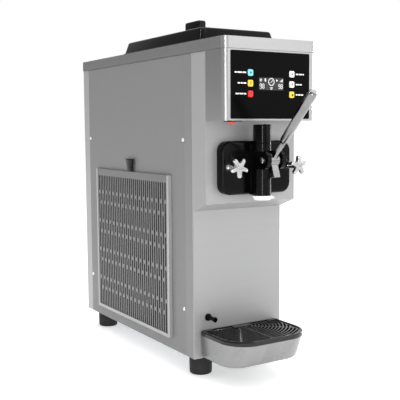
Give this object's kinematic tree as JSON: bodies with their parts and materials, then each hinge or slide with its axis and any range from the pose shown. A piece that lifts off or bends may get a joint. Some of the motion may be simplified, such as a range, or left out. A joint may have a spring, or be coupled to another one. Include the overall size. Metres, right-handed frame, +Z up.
{
  "type": "ice cream maker",
  "caption": "Countertop soft-serve ice cream machine with a stainless casing, draw handle, hopper under a black lid, side air filter and drip tray.",
  "frame": {"origin": "centre of the bounding box, on the plane of the feet", "axes": "+X to the right of someone facing the front, +Y from the front to the back, +Z up"},
  "size_m": [0.2404, 0.8398, 0.7903],
  "materials": {
    "brushed_steel": "satin",
    "polished_steel": "polished",
    "galvanised_steel": "satin",
    "aluminium": "satin",
    "copper_pipe": "satin",
    "black_enamel": "satin",
    "black_plastic": "satin",
    "gloss_black_panel": "gloss",
    "white_plastic": "satin",
    "black_rubber": "matte",
    "circuit_board": "satin",
    "insulation_foam": "matte",
    "cyan_key": "gloss",
    "yellow_key": "gloss",
    "red_key": "gloss"
  },
  "bodies": {
    "machine": {"base_pan": "galvanised_steel", "foot_front_left": "black_rubber", "foot_rear_left": "black_rubber", "foot_front_right": "black_rubber", "foot_rear_right": "black_rubber", "left_side_panel": "brushed_steel", "right_side_panel": "brushed_steel", "rear_panel": "brushed_steel", "cable_gland": "black_plastic", "front_panel": "brushed_steel", "control_cowl": "brushed_steel", "top_deck": "brushed_steel", "control_fascia": "gloss_black_panel", "display_module": "gloss_black_panel", "control_board": "circuit_board", "switch_housing": "black_plastic", "dispensing_head": "black_plastic", "head_gasket": "black_rubber", "valve_cap": "black_plastic", "handle_pivot_pin": "polished_steel", "freezing_cylinder": "polished_steel", "insulation_jacket": "insulation_foam", "gearbox": "aluminium", "beater_motor": "black_enamel", "drive_belt": "black_rubber", "cylinder_shelf": "galvanised_steel", "hopper": "brushed_steel", "filter_pocket": "brushed_steel", "condenser": "aluminium", "fan_shroud": "galvanised_steel", "fan_motor": "black_enamel", "compressor": "black_enamel", "discharge_pipe": "copper_pipe", "suction_pipe": "copper_pipe", "electrical_box": "galvanised_steel", "drain_spout": "black_plastic"},
    "air_filter_body": {"air_filter": "brushed_steel", "filter_tab": "black_plastic"},
    "lid": {"hopper_lid": "black_plastic"},
    "air_tube_body": {"air_tube": "white_plastic"},
    "left_top_key": {"button_left_top": "cyan_key"},
    "left_middle_key": {"button_left_middle": "yellow_key"},
    "left_bottom_key": {"button_left_bottom": "red_key"},
    "right_top_key": {"button_right_top": "white_plastic"},
    "right_middle_key": {"button_right_middle": "white_plastic"},
    "right_bottom_key": {"button_right_bottom": "yellow_key"},
    "rocker": {"power_rocker": "red_key"},
    "handle": {"draw_handle": "polished_steel"},
    "piston": {"valve_piston": "white_plastic"},
    "left_knob_carrier": {"knob_washer_left": "white_plastic"},
    "left_knob": {"star_knob_left": "polished_steel"},
    "right_knob_carrier": {"knob_washer_right": "white_plastic"},
    "right_knob": {"star_knob_right": "polished_steel"},
    "beater_body": {"beater": "polished_steel"},
    "large_pulley": {"gearbox_pulley": "galvanised_steel"},
    "small_pulley": {"motor_pulley": "galvanised_steel"},
    "fan": {"condenser_fan": "black_plastic"},
    "nozzle": {"nozzle_cap": "white_plastic"},
    "tray": {"drip_tray": "brushed_steel"},
    "grate": {"drip_grate": "black_plastic"}
  },
  "joints": [
    {"name": "filter_lift", "type": "slide", "parent": "machine", "child": "air_filter_body", "axis": [0, 0, 1], "range_m": [0, 0.37]},
    {"name": "lid_lift", "type": "slide", "parent": "machine", "child": "lid", "axis": [0, 0, 1], "range_m": [0, 0.1]},
    {"name": "air_tube_lift", "type": "slide", "parent": "machine", "child": "air_tube_body", "axis": [0, 0, 1], "range_m": [0, 0.05]},
    {"name": "left_top_press", "type": "slide", "parent": "machine", "child": "left_top_key", "axis": [0, 1, 0], "range_m": [0, 0.001], "stiffness_N_per_m": 600, "springref_m": -0.0005},
    {"name": "left_middle_press", "type": "slide", "parent": "machine", "child": "left_middle_key", "axis": [0, 1, 0], "range_m": [0, 0.001], "stiffness_N_per_m": 600, "springref_m": -0.0005},
    {"name": "left_bottom_press", "type": "slide", "parent": "machine", "child": "left_bottom_key", "axis": [0, 1, 0], "range_m": [0, 0.001], "stiffness_N_per_m": 600, "springref_m": -0.0005},
    {"name": "right_top_press", "type": "slide", "parent": "machine", "child": "right_top_key", "axis": [0, 1, 0], "range_m": [0, 0.001], "stiffness_N_per_m": 600, "springref_m": -0.0005},
    {"name": "right_middle_press", "type": "slide", "parent": "machine", "child": "right_middle_key", "axis": [0, 1, 0], "range_m": [0, 0.001], "stiffness_N_per_m": 600, "springref_m": -0.0005},
    {"name": "right_bottom_press", "type": "slide", "parent": "machine", "child": "right_bottom_key", "axis": [0, 1, 0], "range_m": [0, 0.001], "stiffness_N_per_m": 600, "springref_m": -0.0005},
    {"name": "rocker_tip", "type": "hinge", "parent": "machine", "child": "rocker", "pos_m": [-0.0818, -0.27006, 0.5602], "axis": [0, 1, 0], "range_deg": [0, 40]},
    {"name": "handle_pull", "type": "hinge", "parent": "machine", "child": "handle", "pos_m": [0.0032, -0.28606, 0.4763], "axis": [1, 0, 0], "range_deg": [0, 40]},
    {"name": "piston_lift", "type": "slide", "parent": "machine", "child": "piston", "axis": [0, 0, 1], "range_m": [0, 0.0235]},
    {"name": "left_knob_travel", "type": "slide", "parent": "machine", "child": "left_knob_carrier", "axis": [0, -1, 0], "range_m": [0, 0.0064]},
    {"name": "left_knob_spin", "type": "hinge", "parent": "left_knob_carrier", "child": "left_knob", "pos_m": [-0.0723, -0.27406, 0.4628], "axis": [0, -1, 0], "range_deg": [0, 1800]},
    {"name": "right_knob_travel", "type": "slide", "parent": "machine", "child": "right_knob_carrier", "axis": [0, -1, 0], "range_m": [0, 0.0064]},
    {"name": "right_knob_spin", "type": "hinge", "parent": "right_knob_carrier", "child": "right_knob", "pos_m": [0.0787, -0.27406, 0.4628], "axis": [0, -1, 0], "range_deg": [0, 1800]},
    {"name": "pulley_spin", "type": "hinge", "parent": "machine", "child": "large_pulley", "pos_m": [0.0312, 0.14874, 0.4438], "axis": [0, 1, 0], "continuous": true},
    {"name": "motor_pulley_spin", "type": "hinge", "parent": "machine", "child": "small_pulley", "pos_m": [0.0312, 0.14874, 0.3318], "axis": [0, 1, 0], "continuous": true},
    {"name": "beater_spin", "type": "hinge", "parent": "machine", "child": "beater_body", "pos_m": [0.0032, -0.06406, 0.4598], "axis": [0, 1, 0], "continuous": true},
    {"name": "fan_spin", "type": "hinge", "parent": "machine", "child": "fan", "pos_m": [-0.0523, 0.12244, 0.23295], "axis": [1, 0, 0], "continuous": true},
    {"name": "nozzle_pull", "type": "slide", "parent": "machine", "child": "nozzle", "axis": [0, 0, -1], "range_m": [0, 0.02]},
    {"name": "tray_pull", "type": "slide", "parent": "machine", "child": "tray", "axis": [0, -1, 0], "range_m": [0, 0.06]},
    {"name": "grate_lift", "type": "slide", "parent": "tray", "child": "grate", "axis": [0, 0, 1], "range_m": [0, 0.015]}
  ],
  "couplings": [
    {"joint": "piston_lift", "follows": "handle_pull", "m_per_rad": 0.03331},
    {"joint": "left_knob_travel", "follows": "left_knob_spin", "m_per_rad": 0.00019894},
    {"joint": "right_knob_travel", "follows": "right_knob_spin", "m_per_rad": 0.00019894},
    {"joint": "motor_pulley_spin", "follows": "pulley_spin", "ratio": 2.634},
    {"joint": "beater_spin", "follows": "pulley_spin", "ratio": 0.125}
  ]
}
